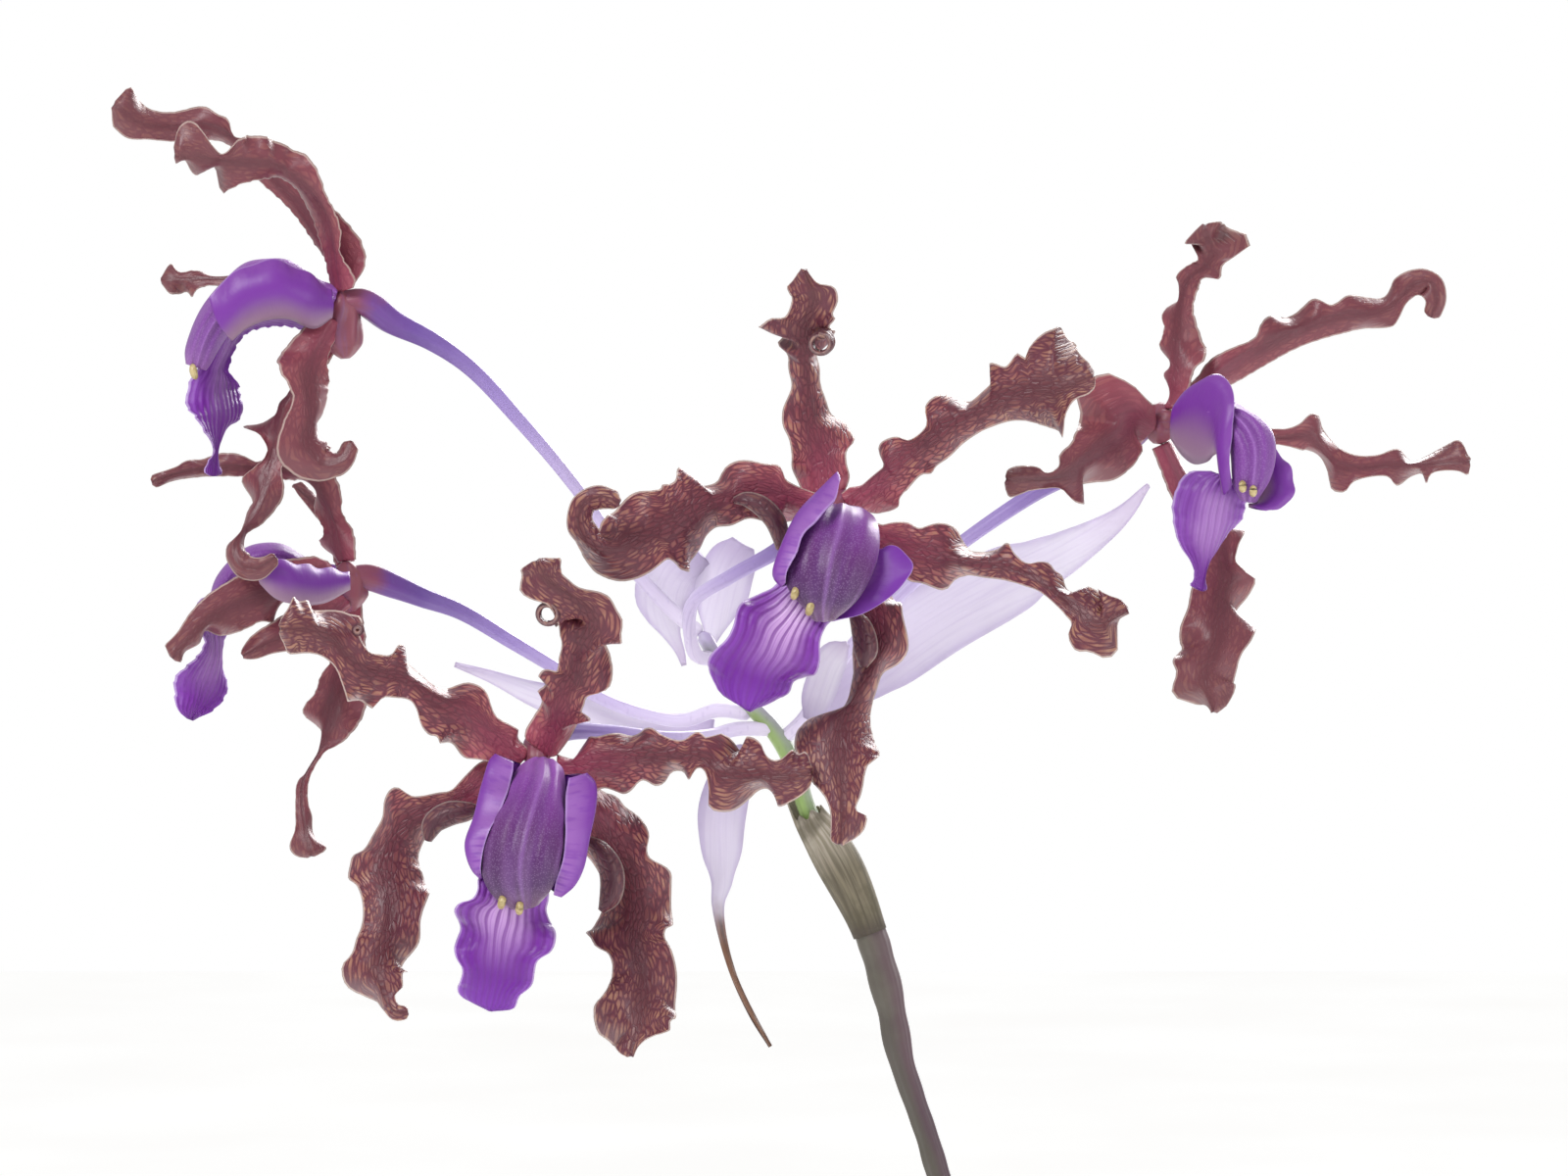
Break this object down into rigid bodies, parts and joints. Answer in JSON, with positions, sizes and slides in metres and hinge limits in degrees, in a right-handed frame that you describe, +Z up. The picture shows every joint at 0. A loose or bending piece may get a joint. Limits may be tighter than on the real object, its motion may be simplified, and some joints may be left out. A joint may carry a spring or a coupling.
{
  "type": "potted orchid in flower",
  "caption": "Orchid in a clay pot of bark: ribbed bulbs, leathery leaves and a tall leaning stem with a head of wavy maroon flowers with violet lips.",
  "frame": {"origin": "centre of the pot's underside, which rests on the surface", "axes": "+Z up along the pot's axis; the flowers face -Y; +X is to the right when they are seen from the front"},
  "size_m": [0.273, 0.2247, 0.7287],
  "materials": {
    "tepal": "satin",
    "lip": "satin",
    "column": "satin",
    "pedicel": "satin",
    "bract": "matte",
    "pseudobulb": "satin",
    "scape": "satin",
    "sheath": "matte",
    "leaf": "satin",
    "rhizome": "matte",
    "terracotta": "matte",
    "bark": "matte"
  },
  "bodies": {
    "root": {"flower_1_dorsal_sepal": "tepal", "flower_1_right_petal": "tepal", "flower_1_left_petal": "tepal", "flower_1_right_sepal": "tepal", "flower_1_left_sepal": "tepal", "flower_1_lip": "lip", "flower_1_column": "column", "flower_1_pedicel": "pedicel", "flower_2_dorsal_sepal": "tepal", "flower_2_right_petal": "tepal", "flower_2_left_petal": "tepal", "flower_2_right_sepal": "tepal", "flower_2_left_sepal": "tepal", "flower_2_lip": "lip", "flower_2_column": "column", "flower_2_pedicel": "pedicel", "flower_3_dorsal_sepal": "tepal", "flower_3_right_petal": "tepal", "flower_3_left_petal": "tepal", "flower_3_right_sepal": "tepal", "flower_3_left_sepal": "tepal", "flower_3_lip": "lip", "flower_3_column": "column", "flower_3_pedicel": "pedicel", "flower_4_dorsal_sepal": "tepal", "flower_4_right_petal": "tepal", "flower_4_left_petal": "tepal", "flower_4_right_sepal": "tepal", "flower_4_left_sepal": "tepal", "flower_4_lip": "lip", "flower_4_column": "column", "flower_4_pedicel": "pedicel", "flower_5_dorsal_sepal": "tepal", "flower_5_right_petal": "tepal", "flower_5_left_petal": "tepal", "flower_5_right_sepal": "tepal", "flower_5_left_sepal": "tepal", "flower_5_lip": "lip", "flower_5_column": "column", "flower_5_pedicel": "pedicel", "right_bract": "bract", "left_bract": "bract", "hanging_bract": "bract", "upper_bract": "bract", "small_bract": "bract", "newest_pseudobulb": "pseudobulb", "second_pseudobulb": "pseudobulb", "oldest_pseudobulb": "pseudobulb", "scape": "scape", "upper_sheath": "sheath", "lower_sheath": "sheath", "newest_leaf_front": "leaf", "newest_leaf_back": "leaf", "second_leaf_front": "leaf", "second_leaf_back": "leaf", "oldest_leaf": "leaf", "rhizome": "rhizome", "pot": "terracotta", "bark": "bark"}
  },
  "joints": []
}
